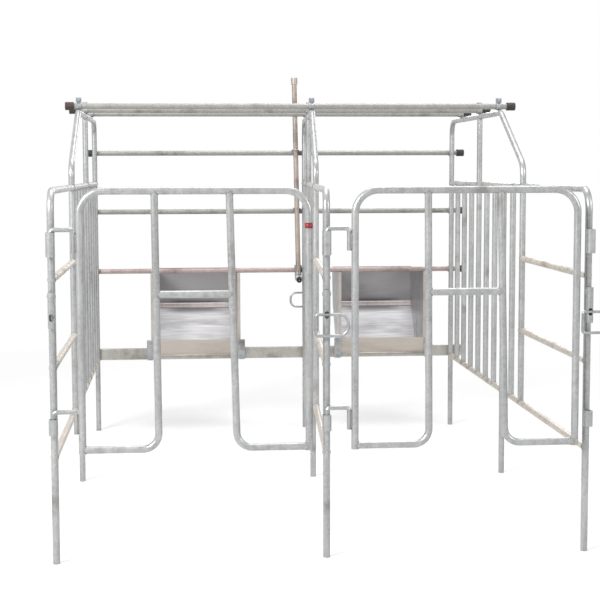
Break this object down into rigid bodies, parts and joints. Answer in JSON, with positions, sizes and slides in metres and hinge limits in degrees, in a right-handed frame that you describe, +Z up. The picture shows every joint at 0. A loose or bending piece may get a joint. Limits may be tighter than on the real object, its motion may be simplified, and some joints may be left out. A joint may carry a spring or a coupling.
{
  "type": "double sow gestation crate",
  "caption": "Two sow stalls side by side, welded from galvanised steel tube, with swing gates at the rear, feed troughs at the head and a drinker between them.",
  "frame": {"origin": "on the floor, at the middle of the footprint box", "axes": "+Z up, +Y towards the head end with the troughs, -Y towards the rear gates, +X to the right seen from the rear"},
  "size_m": [1.698, 2.5404, 1.5343],
  "materials": {
    "galvanised_tube": "satin",
    "dulled_zinc": "matt",
    "pale_rail": "satin",
    "trough_sheet": "satin",
    "bright_fittings": "satin",
    "water_pipe": "satin",
    "black_rubber": "matt"
  },
  "bodies": {
    "crate": {"centre_bars": "dulled_zinc", "centre_bottom_rail": "dulled_zinc", "centre_hood": "galvanised_tube", "centre_mid_leg": "galvanised_tube", "centre_rear_frame": "galvanised_tube", "centre_side_rails": "dulled_zinc", "centre_sleeves": "bright_fittings", "drinker_clips": "bright_fittings", "drinker_nipple": "water_pipe", "drinker_pipe": "water_pipe", "end_caps": "black_rubber", "front_beam": "galvanised_tube", "front_rail_low": "pale_rail", "front_rail_middle": "galvanised_tube", "front_rail_top": "galvanised_tube", "left_bars": "dulled_zinc", "left_bottom_rail": "dulled_zinc", "left_hood": "galvanised_tube", "left_mid_leg": "galvanised_tube", "left_rear_frame": "galvanised_tube", "left_side_rails": "dulled_zinc", "left_sleeves": "bright_fittings", "rail_clamps": "bright_fittings", "right_bars": "dulled_zinc", "right_bottom_rail": "dulled_zinc", "right_hood": "galvanised_tube", "right_mid_leg": "galvanised_tube", "right_rear_frame": "galvanised_tube", "right_side_rails": "dulled_zinc", "right_sleeves": "bright_fittings", "top_rail_head": "galvanised_tube", "top_rail_middle": "galvanised_tube", "top_rail_rear": "galvanised_tube", "trough_brackets": "bright_fittings", "trough_left": "trough_sheet", "trough_right": "trough_sheet"},
    "gate_left": {"gate_left_frame": "galvanised_tube", "gate_left_bars": "galvanised_tube", "gate_left_hooks": "bright_fittings"},
    "gate_right": {"gate_right_frame": "galvanised_tube", "gate_right_bars": "galvanised_tube", "gate_right_hooks": "bright_fittings"},
    "latch_ring_centre": {"latch_ring_centre": "bright_fittings"},
    "latch_ring_right": {"latch_ring_right": "bright_fittings"},
    "latch_ring_head": {"latch_ring_head": "bright_fittings"}
  },
  "joints": [
    {"name": "gate_left_hinge", "type": "hinge", "parent": "crate", "child": "gate_left", "pos_m": [-0.788, -1.2568, 0.7], "axis": [0, 0, -1], "range_deg": [0, 100]},
    {"name": "gate_right_hinge", "type": "hinge", "parent": "crate", "child": "gate_right", "pos_m": [-0.00237, -1.25676, 0.7], "axis": [0, 0, -1], "range_deg": [0, 100]},
    {"name": "latch_ring_centre_swing", "type": "hinge", "parent": "crate", "child": "latch_ring_centre", "pos_m": [-0.00237, -1.25676, 0.72], "axis": [-0.9984, 0.057, 0], "range_deg": [0, 150]},
    {"name": "latch_ring_right_swing", "type": "hinge", "parent": "crate", "child": "latch_ring_right", "pos_m": [0.772, -1.2568, 0.72], "axis": [-1, 0, 0], "range_deg": [0, 150]},
    {"name": "latch_ring_head_swing", "type": "hinge", "parent": "crate", "child": "latch_ring_head", "pos_m": [0.12137, 0.91136, 0.596], "axis": [0.9984, -0.057, 0], "range_deg": [0, 150]}
  ]
}
